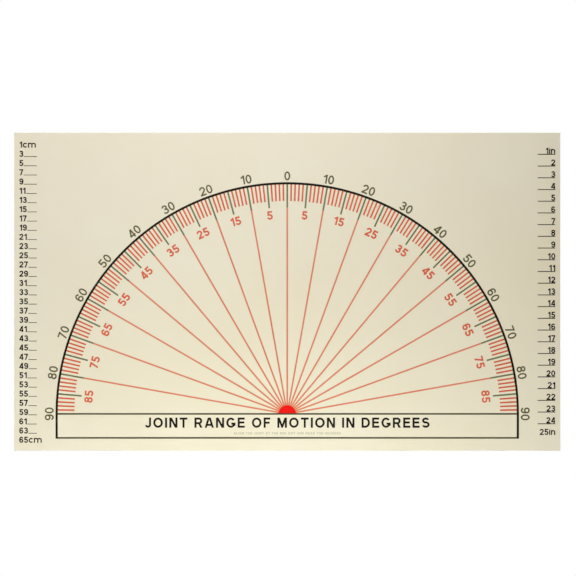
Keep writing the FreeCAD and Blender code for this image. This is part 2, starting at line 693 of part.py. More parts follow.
def clamp_blocks():
    """Aluminium blocks on the carriages' outer walls, tapped for the clamp screws."""
    half, front, back = "dims.clamp_block_height / 2", "-dims.clamp_block_front", "-dims.clamp_block_back"
    corners = [(front, f"-{half}"), (back, f"-{half}"), (back, half), (front, half)]
    axis, tapped = [("-dims.clamp_level", "0")], f"dims.board_screw_radius + {THREAD_GAP}"
    rear = size(back) - 0.01
    middle = "(dims.track_spread + dims.track_width / 2 + dims.clamp_gap + dims.clamp_block_width / 2)"
    for side, sign in SIDES.items():
        body = new_body(f"{side}_clamp_block")
        pad(body, polygon(body, "YZ_Plane", corners), "dims.clamp_block_width", symmetric=True)
        drill(body, circles(body, "YZ_Plane", axis, f"dims.clamp_screw_radius + {THREAD_GAP}"))
        drill(body, circles(body, "YZ_Plane", clamp_bolt_centres(), tapped))
        round_edges(body, cell("clamp_block_corner"), lambda e: along(e, X_AXIS) and e.CenterOfMass.y > rear)
        place(body, f"{sign} * {middle}")


def clamp_frame(piece, sign):
    """Puts a clamp piece, modelled with +X outwards from its track's side, on the left or the right."""
    piece.Placement = Placement(Vector(), Rotation(Z_AXIS, 0 if sign > 0 else 180))
    place(piece, f"{sign} * (dims.track_spread + dims.track_width / 2)", "-dims.clamp_level")


def rod(radius, start, end):
    """A cylinder along X from one place to another."""
    return Part.makeCylinder(radius, end - start, Vector(start, 0, 0), X_AXIS)


def clamp_screws():
    """Pad, screw, star knob and cover cap, along local +X from the track's side."""
    hub_start = "(2 * dims.clamp_gap + dims.clamp_block_width - 4)"
    grip_start = f"({hub_start} + dims.knob_hub_length)"
    touch = 0.05
    pad_end = touch + cell("clamp_pad_depth")
    floor = pad_end - 2.5
    shoulder = pad_end + 0.35
    nose = cell("clamp_nose_radius")
    rim = size(grip_start) + cell("knob_grip_length")
    for side, sign in SIDES.items():
        disc = rod(cell("clamp_pad_radius"), touch, pad_end)
        disc = disc.makeChamfer(0.6, [e for e in disc.Edges if e.isClosed()])
        disc = disc.cut(rod(nose + THREAD_GAP, floor, pad_end))
        clamp_frame(feature(f"{side}_clamp_pad", [disc]), sign)

        screw = rod(cell("clamp_screw_radius"), shoulder, size(f"{hub_start} + dims.clamp_bury"))
        screw = screw.fuse(rod(nose, floor + touch, shoulder)).removeSplitter()
        clamp_frame(feature(f"{side}_clamp_screw", [screw]), sign)

        clamp_frame(star_knob(f"{side}_lock_knob", hub_start, grip_start), sign)

        cover = rod(cell("knob_cap_radius") - 0.05, rim - 1, rim + 0.8)
        cover = cover.makeFillet(0.6, [e for e in cover.Edges if e.BoundBox.XMin > rim + 0.7])
        clamp_frame(feature(f"{side}_knob_cap", [cover]), sign)


def star_knob(label, hub_start, grip_start):
    """A moulded knob with scalloped lobes, a hub, a blind bore for the screw and a recess for the cap."""
    body = new_body(label)
    middle = [("0", "0")]
    grip = circles(body, "YZ_Plane", middle, "dims.knob_radius")
    grip.setExpression("AttachmentOffset.Base.z", grip_start)
    pad(body, grip, "dims.knob_grip_length")
    doc.recompute()
    scallop = circles(body, "YZ_Plane", [("dims.knob_radius * 1.16", "0")], "dims.knob_radius * 0.36")
    cut = drill(body, scallop)
    pattern = body.newObject("PartDesign::PolarPattern", f"{label}_scallops")
    pattern.Originals = [cut]
    pattern.Axis = (grip, ["N_Axis"])
    pattern.Angle = 360
    pattern.setExpression("Occurrences", "dims.knob_lobes")
    body.Tip = pattern
    rim = size(grip_start) + cell("knob_grip_length")
    round_edges(body, 2, lambda e: e.BoundBox.XMin > rim - 0.01)
    hub = circles(body, "YZ_Plane", middle, "dims.knob_hub_radius")
    hub.setExpression("AttachmentOffset.Base.z", hub_start)
    pad(body, hub, "dims.knob_hub_length + 1")
    bore = circles(body, "YZ_Plane", middle, f"dims.clamp_screw_radius + {PRESS_GAP}")
    sink(body, bore, hub_start, "dims.clamp_bury + 0.05")
    recess = circles(body, "YZ_Plane", middle, "dims.knob_cap_radius")
    sink(body, recess, f"{grip_start} + dims.knob_grip_length - 1", "1")
    return body


# ---------------------------------------------------------------- printed lettering

# Lettering, in units of the height of a digit or a capital.
X_HEIGHT = 0.8
DIGIT = 0.66
LETTER_GAP = 0.11
TITLE_GAP = 0.22
# Widths of a stroke.
REGULAR = 0.17
BOLD = 0.2


def bar_face(start, end, weight):
    """A straight stroke of a letter, with square ends."""
    a, b = Vector(*start, 0), Vector(*end, 0)
    across = (b - a).normalize().cross(Vector(0, 0, 1)) * (weight / 2)
    corners = [a + across, b + across, b - across, a - across]
    return Part.Face(Part.makePolygon(corners + corners[:1]))


def oval(x, z, wide, tall, first=0, last=360):
    """An upright ellipse's edge about (x, z), anticlockwise from one angle to another, in degrees."""
    middle = Vector(x, z, 0)
    right, top, left = Vector(wide, 0, 0), Vector(0, tall, 0), Vector(-wide, 0, 0)
    if wide >= tall:
        curve, start = Part.Ellipse(middle + right, middle + top, middle), 0
    else:
        curve, start = Part.Ellipse(middle + top, middle + left, middle), 90
    return curve.toShape(math.radians(first - start), math.radians(last - start))


def oval_face(x, z, wide, tall):
    return Part.Face(Part.Wire(oval(x, z, wide, tall)))


def bow_face(x, z, wide, tall, first, last, weight):
    """An open round stroke: a band along an ellipse whose half width and half height are those of the
    stroke's middle."""
    half = weight / 2
    arcs = [oval(x, z, wide + grow, tall + grow, first, last) for grow in (half, -half)]
    ends = [(arc.valueAt(arc.FirstParameter), arc.valueAt(arc.LastParameter)) for arc in arcs]
    caps = [Part.makeLine(outer, inner) for outer, inner in zip(*ends)]
    return Part.Face(Part.Wire([arcs[0], caps[1], arcs[1], caps[0]]))


def character_face(marks, weight):
    """A character's strokes as one face. A closed round stroke is filled at first, and hollowed at the end."""
    half = weight / 2
    strokes, hollows = [], []
    for mark in marks:
        if len(mark) == 4:
            strokes.append(bar_face(mark[:2], mark[2:], weight))
        elif mark[5] - mark[4] < 360:
            strokes.append(bow_face(*mark, weight))
        else:
            x, z, wide, tall = mark[:4]
            strokes.append(oval_face(x, z, wide + half, tall + half))
            hollows.append(oval_face(x, z, wide - half, tall - half))
    face = strokes[0].fuse(strokes[1:]) if len(strokes) > 1 else strokes[0]
    corners = [Vector(-1, 0), Vector(2, 0), Vector(2, 1), Vector(-1, 1)]
    slab = Part.Face(Part.makePolygon(corners + corners[:1]))
    return face.common(slab).removeSplitter().cut(hollows)


def digit_strokes(weight):
    """Each digit's width and strokes, in units of its height. A straight stroke is (x, z, x, z) and a round
    one is (x, z, half width, half height, first angle, last angle)."""
    h = weight / 2
    mid, right = DIGIT / 2, DIGIT - h
    small, large = 0.48 * (0.5 + h), 0.52 * (0.5 + h)
    waist = 2 * large - h
    bowl, slope = 0.32, 0.7071
    hook = (mid + (mid - h) * slope, 1 - bowl - (bowl - h) * slope)
    return {
        "0": (DIGIT, [(mid, 0.5, mid - h, 0.5 - h, 0, 360)]),
        "1": (0.46, [(0.46 - h, 0, 0.46 - h, 1), (0.46 - h, 1 - h, 0.07, 0.7)]),
        "2": (DIGIT, [(mid, 1 - bowl, mid - h, bowl - h, -45, 178), (*hook, 0.08, 0.09), (0, h, DIGIT, h)]),
        "3": (DIGIT, [
            (mid - 0.01, 1 - small, mid - 0.03 - h, small - h, -90, 168),
            (mid, large, mid - h, large - h, -168, 90),
            (0.23, waist, mid, waist),
        ]),
        "4": (0.68, [(0.5, 0, 0.5, 1), (0, 0.27, 0.68, 0.27), (0.09, 0.28, 0.47, 0.97)]),
        "5": (DIGIT, [
            (0.09, 1 - h, 0.61, 1 - h),
            (h + 0.04, 0.47, h + 0.08, 1.1),
            (mid - 0.01, 0.33, mid + 0.01 - h, 0.33 - h, -165, 140),
        ]),
        "6": (DIGIT, [
            (mid, bowl, mid - h, bowl - h, 0, 360),
            (h, bowl, h, 0.62),
            (mid, 0.62, mid - h, 0.38 - h, 22, 180),
        ]),
        "7": (0.63, [(0, 1 - h, 0.63, 1 - h), (0.54, 0.95, 0.2, -0.06)]),
        "8": (DIGIT, [
            (mid, 1.01 - small, mid - 0.02 - h, small - 0.01 - h, 0, 360),
            (mid, large, mid - h, large - h, 0, 360),
        ]),
        "9": (DIGIT, [
            (mid, 1 - bowl, mid - h, bowl - h, 0, 360),
            (right, 1 - bowl, right, 0.38),
            (mid, 0.38, mid - h, 0.38 - h, 202, 360),
        ]),
    }  # fmt: skip


def unit_strokes(weight):
    """The small letters of the two units, written as digit_strokes says."""
    h = weight / 2
    arch = 0.3
    spring = X_HEIGHT - arch
    stems = (h, 0.65, 1.3 - h)
    legs = [(x, 0, x, spring) for x in stems[1:]]
    arches = [
        ((left + right) / 2, spring, (right - left) / 2, arch - h, 0, 180)
        for left, right in zip(stems, stems[1:])
    ]
    return {
        "c": (0.74, [(0.4, X_HEIGHT / 2, 0.4 - h, X_HEIGHT / 2 - h, 42, 318)]),
        "i": (weight, [(h, 0, h, X_HEIGHT), (h, 0.92, h, 1.1)]),
        "m": (1.3, [(h, 0, h, X_HEIGHT), *legs, *arches]),
        "n": (0.7, [
            (h, 0, h, X_HEIGHT),
            (0.7 - h, 0, 0.7 - h, spring),
            (0.35, spring, 0.35 - h, arch - h, 0, 180),
        ]),
    }  # fmt: skip


def capital_strokes(weight):
    """The capitals of the band's two lines, written as digit_strokes says."""
    h = weight / 2
    top = 1 - h
    stem = (h, 0, h, 1)
    small, large = 0.48 * (0.5 + h), 0.52 * (0.5 + h)
    waist = 0.45
    return {
        " ": (0.26, []),
        "A": (0.88, [(0.07, -0.06, 0.42, 1.06), (0.81, -0.06, 0.46, 1.06), (0.2, 0.28, 0.68, 0.28)]),
        "D": (0.82, [stem, (0, top, 0.38, top), (0, h, 0.38, h), (0.38, 0.5, 0.44 - h, 0.5 - h, -90, 90)]),
        "E": (0.7, [stem, (0, top, 0.69, top), (0, 0.52, 0.65, 0.52), (0, h, 0.7, h)]),
        "F": (0.65, [stem, (0, top, 0.65, top), (0, 0.5, 0.59, 0.5)]),
        "G": (0.9, [
            (0.45, 0.5, 0.45 - h, 0.5 - h, 38, 342),
            (0.9 - h, 0.2, 0.9 - h, 0.5),
            (0.5, 0.5 - h, 0.9, 0.5 - h),
        ]),
        "H": (0.8, [stem, (0.8 - h, 0, 0.8 - h, 1), (0, 0.5, 0.8, 0.5)]),
        "I": (weight, [stem]),
        "J": (0.6, [(0.6 - h, 0.3, 0.6 - h, 1), (0.3, 0.3, 0.3 - h, 0.3 - h, 190, 360)]),
        "L": (0.66, [stem, (0, h, 0.66, h)]),
        "M": (0.94, [
            stem,
            (0.94 - h, 0, 0.94 - h, 1),
            (h * 1.1, 1.04, 0.49, 0.02),
            (0.94 - h * 1.1, 1.04, 0.45, 0.02),
        ]),
        "N": (0.8, [stem, (0.8 - h, 0, 0.8 - h, 1), (h * 1.1, 1.03, 0.8 - h * 1.1, -0.03)]),
        "O": (0.94, [(0.47, 0.5, 0.47 - h, 0.5 - h, 0, 360)]),
        "R": (0.8, [
            stem,
            (0, top, 0.46, top),
            (0, waist, 0.46, waist),
            (0.46, (top + waist) / 2, 0.3 - h, (top - waist) / 2, -90, 90),
            (0.44, 0.48, 0.71, -0.06),
        ]),
        "S": (0.76, [
            (0.38, 1 - small, 0.35 - h, small - h, 22, 270),
            (0.38, large, 0.38 - h, large - h, -158, 90),
        ]),
        "T": (0.76, [(0, top, 0.76, top), (0.38, 0, 0.38, 1)]),
    }  # fmt: skip


def make_alphabet(characters, height, weight):
    """Solids of the characters, standing in the XZ plane with their backs on y = 0, and their widths."""
    table = {**digit_strokes(weight), **unit_strokes(weight), **capital_strokes(weight)}
    letters = {}
    for character in sorted(set(characters)):
        width, marks = table[character]
        shape = None
        if marks:
            outline = character_face(marks, weight)
            outline.scale(height)
            shape = outline.extrude(Vector(0, 0, cell("ink_depth")))
            shape.rotate(Vector(), X_AXIS, 90)
        letters[character] = (width * height, shape)
    return letters


def lettering(text, letters, height, gap=LETTER_GAP):
    """Solids of a line of text that starts at x = 0 and stands on z = 0, and the line's length."""
    pen, shapes = 0.0, []
    for character in text:
        width, shape = letters[character]
        if shape:
            moved = shape.copy()
            moved.translate(Vector(pen, 0, 0))
            shapes.append(moved)
        pen += width + gap * height
    return shapes, pen - gap * height


def put(shapes, x, z, turn=0.0):
    """Turns shapes clockwise about the origin, seen from the front, then moves them onto the board's face."""
    front = -size(BOARD_FRONT)
    placed = []
    for shape in shapes:
        shape.rotate(Vector(), Y_AXIS, turn)
        shape.translate(Vector(x, front, z))
        placed += shape.Solids
    return placed


def centred(text, letters, height, radius, angle):
    """A numeral whose middle lies on the dial at that radius and angle from the top, its feet inwards."""
    shapes, length = lettering(text, letters, height)
    for shape in shapes:
        shape.translate(Vector(-length / 2, 0, -height / 2))
    lean = math.radians(angle)
    x, z = radius * math.sin(lean), radius * math.cos(lean) - cell("dial_drop")
    return put(shapes, x, z, angle)


# ---------------------------------------------------------------- printed marks


def ink_strip(width, low, high):
    """A strip of ink up the Z axis, from one height to another, with its back on y = 0."""
    depth = cell("ink_depth")
    return Part.makeBox(width, depth, high - low, Vector(-width / 2, -depth, low))


def rays(angles, width, low, high):
    """Strips between two radii of the dial, at angles from the top."""
    placed = []
    for angle in angles:
        placed += put([ink_strip(width, low, high)], 0, -cell("dial_drop"), angle)
    return placed


def dial_outline():
    """The half circle and the title band's short sides, one printed frame, and the band's two long lines."""
    radius, line, band_line = cell("dial_radius"), cell("dial_line"), cell("band_line")
    depth, low = cell("ink_depth"), -cell("band_height") - band_line / 2
    outer, inner = radius + line / 2, radius - line / 2
    ring = disc(outer).cut(disc(inner))
    frame = ring.common(Part.makeBox(2 * outer, depth, outer, Vector(-outer, -depth, 0)))
    for x in (-outer, inner):
        frame = frame.fuse(Part.makeBox(line, depth, -low, Vector(x, -depth, low)))
    feature("dial_outline", put([frame.removeSplitter()], 0, -cell("dial_drop")))
    levels = (-band_line / 2, low)
    lines = [Part.makeBox(2 * inner, depth, band_line, Vector(-inner, -depth, z)) for z in levels]
    feature("band_lines", put(lines, 0, -cell("dial_drop")))


def disc(radius):
    """A disc of ink with its back on y = 0."""
    return Part.makeCylinder(radius, cell("ink_depth"), Vector(), -Y_AXIS)


def degree_marks():
    """Ticks every degree, longer ones every five, and a spoke every ten, on both sides of the top."""
    line = cell("tick_line")
    rim = cell("dial_radius") - cell("dial_line") / 2 - 0.01
    fine = [angle for angle in range(-89, 90) if angle % 5]
    fives = [angle for angle in range(-85, 90, 5)]
    tens = [angle for angle in range(-80, 90, 10)]
    end = rim - cell("five_tick")
    feature("one_degree_ticks", rays(fine, line, rim - cell("degree_tick"), rim))
    feature("five_degree_ticks", rays(fives, line, end, rim))
    feature("ten_degree_spokes", spokes(tens, line, end))


def spokes(angles, line, end):
    """Spokes from the red half disc out to the long ticks, one printed fan."""
    strips = [ink_strip(line, 0, end) for _ in angles]
    for piece, angle in zip(strips, angles):
        piece.rotate(Vector(), Y_AXIS, angle)
    fan = strips[0].fuse(strips[1:]).cut(disc(cell("centre_mark")))
    fan = fan.common(above_band(end)).removeSplitter()
    return put([fan], 0, -cell("dial_drop"))


def above_band(reach):
    """The space above the band's upper line, that far each way from the dial's centre."""
    depth = cell("ink_depth")
    return Part.makeBox(2 * reach, depth, reach, Vector(-reach, -depth, cell("band_line") / 2))


def centre_disc():
    """The red half disc at the dial's centre, cut off by the band's upper line."""
    radius = cell("centre_mark")
    return disc(radius).common(above_band(radius))


def dial_numerals():
    """Tens outside the outline in dark ink, and the fives between them inside in red."""
    height, smaller = cell("numeral_height"), cell("inner_numeral_height")
    regular = make_alphabet("0123456789", height, REGULAR)
    bold = make_alphabet("12345678", smaller, BOLD)
    tens, fives = [], []
    for angle in range(-90, 91, 10):
        tens += centred(str(abs(angle)), regular, height, cell("outer_numerals"), angle)
    for angle in range(-85, 90, 10):
        fives += centred(str(abs(angle)), bold, smaller, cell("inner_numerals"), angle)
    feature("tens_numerals", tens)
    feature("fives_numerals", fives)


def ruler(label, count, step, pitch, unit, side):
    """One ruler on the left (side -1) or the right (1): every step-th number from 1 to count, downwards. A
    line on the left runs on from its number, unless the number's unit fills its place. A line on the right
    runs under its number, and the last number has none."""
    height, long = cell("ruler_numeral_height"), cell("ruler_line_length")
    letters = make_alphabet("0123456789" + unit, height, BOLD)
    edge = side * (cell("board_width") / 2 - cell("ruler_inset"))
    half = cell(f"{label}_line") / 2
    gap = 1.2
    marks = []
    for number in range(1, count + 1, step):
        z = ((count + 1) / 2 - number) * pitch - cell("ruler_drop")
        text = f"{number}{unit}" if number in (1, count) else str(number)
        shapes, length = lettering(text, letters, height)
        if side < 0:
            marks += put(shapes, edge, z - half)
            start, end = edge + length + gap, edge + long
        else:
            marks += put(shapes, edge - length, z + half + 0.2)
            start, end = edge - long, edge
        lined = end - start > height if side < 0 else number < count
        if lined:
            marks += put([ink_strip(end - start, -half, half)], (start + end) / 2, z)
    feature(f"{label}_ruler", marks)


def rulers():
    """Centimetres down the left edge, every second one marked, and inches down the right edge."""
    ruler("centimetre", 65, 2, CENTIMETRE, "cm", -1)
    ruler("inch", 25, 1, INCH, "in", 1)


def band_text(label, text, height, level):
    """A generic line of capitals in the middle of the band, that far below the band's upper line."""
    letters = make_alphabet(text, height, BOLD)
    shapes, length = lettering(text, letters, height, gap=TITLE_GAP)
    feature(label, put(shapes, -length / 2, -cell("dial_drop") - level - height / 2))


def band_lettering():
    band_text("band_title", "JOINT RANGE OF MOTION IN DEGREES", cell("title_height"), cell("title_level"))
    note = "ALIGN THE JOINT AT THE RED DOT AND READ THE DEGREES"
    band_text("band_note", note, cell("note_height"), cell("note_level"))


# ---------------------------------------------------------------- build and write


def export():
    """Checks every object of the document, then writes one STEP file for each sub-part."""
    doc.recompute()
    failed = [o.Name for o in doc.Objects if "Invalid" in o.State or "Error" in o.State]
    failed += [p.Label for p in MADE if p.Shape.isNull() or not p.Shape.isValid() or not p.Shape.Solids]
    if failed:
        raise RuntimeError(f"failed: {failed}")
    os.makedirs("parts", exist_ok=True)
    for piece in MADE:
        piece.Shape.exportStep(f"parts/{piece.Label}.step")
        print(f"{piece.Label}: {len(piece.Shape.Solids)} solids, {piece.Shape.Volume / 1000:.1f} cm3")
    print(len(MADE), "nodes")


def main():
    wall_bars()
    tracks()
    end_stops()
    bumpers()
    track_fasteners()
    board_layers()
    stiffeners()
    carriages()
    glides()
    clamp_blocks()
    clamp_screws()
    board_fasteners()
    dial_outline()
    degree_marks()
    feature("centre_mark", put([centre_disc()], 0, -cell("dial_drop")))
    dial_numerals()
    rulers()
    band_lettering()
    export()


main()
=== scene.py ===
"""Studio picture of a height-adjustable wall goniometer, seen square on.

The printed board, its wall tracks and its clamps come from the CAD model. Finer pieces made here stand for
the dial's outline, the clamp screws, the star knobs and the knobs' cover caps. Lengths are in metres, and the
board looks along -Y.
"""

import math
from collections import namedtuple

import bmesh
import bpy
from mathutils import Matrix, Vector


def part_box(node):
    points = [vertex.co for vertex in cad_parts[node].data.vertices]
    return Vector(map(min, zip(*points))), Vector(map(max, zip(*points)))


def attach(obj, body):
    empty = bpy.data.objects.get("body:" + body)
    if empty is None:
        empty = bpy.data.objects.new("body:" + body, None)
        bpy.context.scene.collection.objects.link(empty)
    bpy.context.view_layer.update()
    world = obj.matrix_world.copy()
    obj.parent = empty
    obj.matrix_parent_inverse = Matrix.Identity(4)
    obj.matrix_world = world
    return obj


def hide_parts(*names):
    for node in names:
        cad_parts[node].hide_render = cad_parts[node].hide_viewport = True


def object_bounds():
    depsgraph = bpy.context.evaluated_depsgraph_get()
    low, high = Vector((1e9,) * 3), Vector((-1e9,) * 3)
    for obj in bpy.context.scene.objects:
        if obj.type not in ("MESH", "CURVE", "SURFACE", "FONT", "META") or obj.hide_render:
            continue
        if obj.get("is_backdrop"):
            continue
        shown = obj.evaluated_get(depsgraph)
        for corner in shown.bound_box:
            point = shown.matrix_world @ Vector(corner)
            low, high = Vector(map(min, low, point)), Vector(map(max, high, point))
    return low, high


bpy.ops.wm.read_factory_settings(use_empty=True)
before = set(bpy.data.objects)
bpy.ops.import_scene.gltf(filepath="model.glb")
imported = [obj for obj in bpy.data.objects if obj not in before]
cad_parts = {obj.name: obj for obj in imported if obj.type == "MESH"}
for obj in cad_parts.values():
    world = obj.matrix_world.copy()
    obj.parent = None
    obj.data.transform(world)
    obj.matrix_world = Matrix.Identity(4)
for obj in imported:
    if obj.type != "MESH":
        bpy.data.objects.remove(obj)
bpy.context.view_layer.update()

MM = 0.001
SIDES = {"left": -1, "right": 1}

# The dial's printed outline.
OUTLINE_WIDTH = 4.8 * MM
OUTLINE_STEPS = 720

# Slender print takes less ink, so it looks paler.
FINE_PRINT = ("tens_numerals", "ten_degree_spokes")

# The clamp screws' M8 thread. Its profile goes from the root, 0, to the crest, 1, and most of the way back.
THREAD_PITCH = 1.25 * MM
THREAD_DEPTH = 0.65 * MM
THREAD_PROFILE = (0.0, 0.0, 0.35, 0.8, 1.0, 1.0, 0.8, 0.35)
THREAD_RUNOUT = 0.8 * MM
THREAD_STEPS = 48
CREST_SHRINK = 0.01 * MM
# The plain nose at a clamp screw's inner end, and the shoulder behind it.
NOSE_LENGTH = 2.8 * MM
NOSE_RADIUS = 3 * MM
NOSE_CHAMFER = 0.5 * MM
NOSE_SHOULDER = 0.35 * MM

# The star knobs. A scallop's centre and radius are shares of the knob's radius.
KNOB_LOBES = 5
KNOB_STEPS = 240
HUB_LENGTH = 5 * MM
HUB_RADIUS = 9 * MM
GRIP_LENGTH = 13 * MM
CAP_RECESS = 6 * MM
SCALLOP_CENTRE = 1.16
SCALLOP_RADIUS = 0.36
LOBE_CORNER = 0.9 * MM
# Profiles in millimetres, as (distance outwards, change of radius) from the place that each name gives.
HUB_FROM_START = ((0, -0.7), (0.25, -0.2), (0.8, 0), (1.6, 0), (2.1, -0.5))
HUB_FROM_GRIP = ((-1.2, -0.5), (-0.4, -0.2), (0, 0.5))
GRIP_FROM_BACK = ((0, -2.2), (0.15, -1.3), (0.6, -0.6), (1.3, -0.2), (2.4, -0.02), (6, 0))
GRIP_FROM_FRONT = ((-4, -0.1), (-2.6, -0.3), (-1.5, -0.9), (-0.7, -1.8), (-0.2, -3), (0, -4.4))
RECESS_FROM_FRONT = ((0, 1.2), (-0.06, 0.35), (-0.3, 0.05), (-1, 0))

# The knobs' cover caps: profiles like those above, and a low dome in rings that are shares of its radius.
CAP_STEPS = 96
CAP_FROM_START = ((0, -0.3), (0.3, 0))
CAP_FROM_RIM = ((-0.15, 0), (0, -0.12), (0.04, -0.5), (-0.12, -0.7), (-0.12, -0.95))
RIM_DROP = 0.45 * MM
DOME_INSET = 1.1 * MM
DOME_FOOT = 0.1 * MM
DOME_HEIGHT = 0.35 * MM
DOME_RINGS = (1.0, 0.85, 0.65, 0.45, 0.25, 0.1, 0.02)

# Screen-printed inks: the colour at full thickness, the colour where thin, and how much of it is speckled.
INKS = {
    "black_ink": ((12, 10, 0), (40, 36, 16), 0.4),
    "olive_ink": ((60, 57, 26), (88, 84, 50), 0.4),
    "olive_ink_fine": ((92, 90, 54), (116, 112, 76), 0.4),
    "green_ink": ((104, 112, 72), (126, 132, 92), 0.4),
    "orange_ink": ((214, 96, 62), (222, 120, 86), 0.4),
    "orange_ink_fine": ((218, 128, 94), (226, 148, 114), 0.4),
    "red_ink": ((236, 4, 0), (238, 24, 10), 0.35),
    "grey_ink": ((190, 187, 158), (204, 200, 172), 0.4),
}

# The camera stands where a long lens frames the board with a small margin at its sides.
LENS, SENSOR = 135, 36
MARGIN = 1.0548
CAMERA_OFFSET = Vector((1.6 * MM, 0, 8 * MM))

# The floor is a disc that fades to white between two shares of its radius.
FLOOR_LEVEL = -1.3
FLOOR_RADIUS = 3.8
FLOOR_FADE = (0.45, 0.97)

# The room's own light, stronger from above: heights of its darkest and its palest part.
ROOM_STRENGTH = 0.14
ROOM_HEIGHTS = (-0.6, 0.9)


def paint(red, green, blue):
    """A linear colour from the values of an 8-bit screen colour."""
    channels = []
    for value in (red, green, blue):
        value /= 255
        channels.append(value / 12.92 if value <= 0.04045 else ((value + 0.055) / 1.055) ** 2.4)
    return (*channels, 1.0)


def brighter(tone, factor, lift=0.0):
    """A linear colour times a factor, which darkens it if under 1, plus a lift."""
    return (*(min(1.0, factor * value + lift) for value in tone[:3]), 1.0)


# ---------------------------------------------------------------- materials


class Look:
    """A material under construction: a Principled surface and short ways to add the nodes that vary it."""

    def __init__(self, name, roughness, metallic=0.0):
        self.material = bpy.data.materials.new(name)
        self.material.use_nodes = True
        self.nodes = self.material.node_tree.nodes
        self.links = self.material.node_tree.links
        self.surface = self.nodes["Principled BSDF"]
        self.surface.inputs["Roughness"].default_value = roughness
        self.surface.inputs["Metallic"].default_value = metallic
        self.place = self.nodes.new("ShaderNodeTexCoord").outputs["Object"]
        self.normal = None

    def constant(self, name, value):
        self.surface.inputs[name].default_value = value

    def stretched(self, scale):
        """Object coordinates, scaled along each axis."""
        mapping = self.nodes.new("ShaderNodeMapping")
        mapping.inputs["Scale"].default_value = scale
        self.links.new(self.place, mapping.inputs["Vector"])
        return mapping.outputs["Vector"]

    def noise(self, scale, detail=3.0, roughness=0.5, stretch=None):
        texture = self.nodes.new("ShaderNodeTexNoise")
        texture.inputs["Scale"].default_value = scale
        texture.inputs["Detail"].default_value = detail
        texture.inputs["Roughness"].default_value = roughness
        self.links.new(self.stretched(stretch) if stretch else self.place, texture.inputs["Vector"])
        return texture.outputs["Fac"]

    def cells(self, scale):
        """Distance to the nearest of many scattered points."""
        texture = self.nodes.new("ShaderNodeTexVoronoi")
        texture.inputs["Scale"].default_value = scale
        self.links.new(self.place, texture.inputs["Vector"])
        return texture.outputs["Distance"]

    def spread(self, value, low, high, start=0.3, end=0.7):
        """Maps a value between start and end to one between low and high."""
        ranged = self.nodes.new("ShaderNodeMapRange")
        for name, number in zip(("From Min", "From Max", "To Min", "To Max"), (start, end, low, high)):
            ranged.inputs[name].default_value = number
        self.links.new(value, ranged.inputs["Value"])
        return ranged.outputs["Result"]

    def mix(self, factor, first, second):
        """Mixes two colours, each of them a constant or an output, by a factor that varies."""
        mixer = self.nodes.new("ShaderNodeMix")
        mixer.data_type = "RGBA"
        for socket, colour in ((mixer.inputs["A"], first), (mixer.inputs["B"], second)):
            if isinstance(colour, tuple):
                socket.default_value = colour
            else:
                self.links.new(colour, socket)
        self.links.new(factor, mixer.inputs["Factor"])
        return mixer.outputs["Result"]

    def colour(self, output):
        self.links.new(output, self.surface.inputs["Base Color"])

    def roughness(self, output):
        self.links.new(output, self.surface.inputs["Roughness"])

    def bump(self, height, strength, distance):
        """Raises the surface by height, on top of any bump before it."""
        node = self.nodes.new("ShaderNodeBump")
        node.inputs["Strength"].default_value = strength
        node.inputs["Distance"].default_value = distance
        self.links.new(height, node.inputs["Height"])
        if self.normal:
            self.links.new(self.normal, node.inputs["Normal"])
        self.normal = node.outputs["Normal"]
        self.links.new(self.normal, self.surface.inputs["Normal"])

    def soften(self, radius):
        """Rounds sharp edges by that radius where they catch the light. It comes before any bump."""
        node = self.nodes.new("ShaderNodeBevel")
        node.samples = 6
        node.inputs["Radius"].default_value = radius
        self.normal = node.outputs["Normal"]
        self.links.new(self.normal, self.surface.inputs["Normal"])


def laminate(name, pale, aged, gloss):
    """Paper-backed laminate: a faintly uneven tint, fibres under the surface and a satin skin."""
    look = Look(name, gloss)
    look.constant("Specular IOR Level", 0.42)
    clouds = look.noise(scale=2.6, detail=4.0, roughness=0.62)
    tint = look.mix(look.spread(clouds, 0.0, 1.0), pale, aged)
    fibres = look.noise(scale=1.0, detail=5.0, roughness=0.7, stretch=(260, 260, 900))
    worn = look.mix(look.spread(fibres, 0.0, 0.035), tint, paint(188, 176, 150))
    look.colour(worn)
    satin = look.noise(scale=420, detail=2.0)
    look.roughness(look.spread(satin, gloss - 0.05, gloss + 0.07))
    look.bump(look.noise(scale=1500, detail=2.0), strength=0.12, distance=0.05 * MM)
    look.bump(look.noise(scale=9, detail=1.0), strength=0.05, distance=0.6 * MM)
    return look.material


def ink(name, full, thin, speckle):
    """Screen-printed ink: nearly even, thinner in small spots where the laminate shows through."""
    look = Look(name, roughness=0.5)
    look.constant("Specular IOR Level", 0.18)
    grain = look.noise(scale=1300, detail=3.0, roughness=0.6)
    broad = look.noise(scale=24, detail=2.0)
    body = look.mix(look.spread(broad, 0.0, 0.3), full, thin)
    look.colour(look.mix(look.spread(grain, 0.0, speckle, start=0.45, end=0.75), body, thin))
    look.roughness(look.spread(grain, 0.44, 0.58))
    look.bump(grain, strength=0.1, distance=0.03 * MM)
    return look.material


def aluminium(name, along, tone):
    """Anodised aluminium: fine die lines along the extrusion and a soft, matt sheen."""
    look = Look(name, roughness=0.34, metallic=1.0)
    look.soften(0.35 * MM)
    stretch = tuple(5.0 if axis == along else 1400.0 for axis in "XYZ")
    wide = tuple(1.5 if axis == along else 220.0 for axis in "XYZ")
    lines = look.noise(scale=1.0, detail=4.0, roughness=0.65, stretch=stretch)
    bands = look.noise(scale=1.0, detail=2.0, stretch=wide)
    look.colour(look.mix(look.spread(bands, 0.0, 0.55), tone, brighter(tone, 0.82)))
    look.roughness(look.spread(lines, 0.27, 0.45))
    look.constant("Anisotropic", 0.4)
    look.bump(lines, strength=0.14, distance=0.03 * MM)
    return look.material


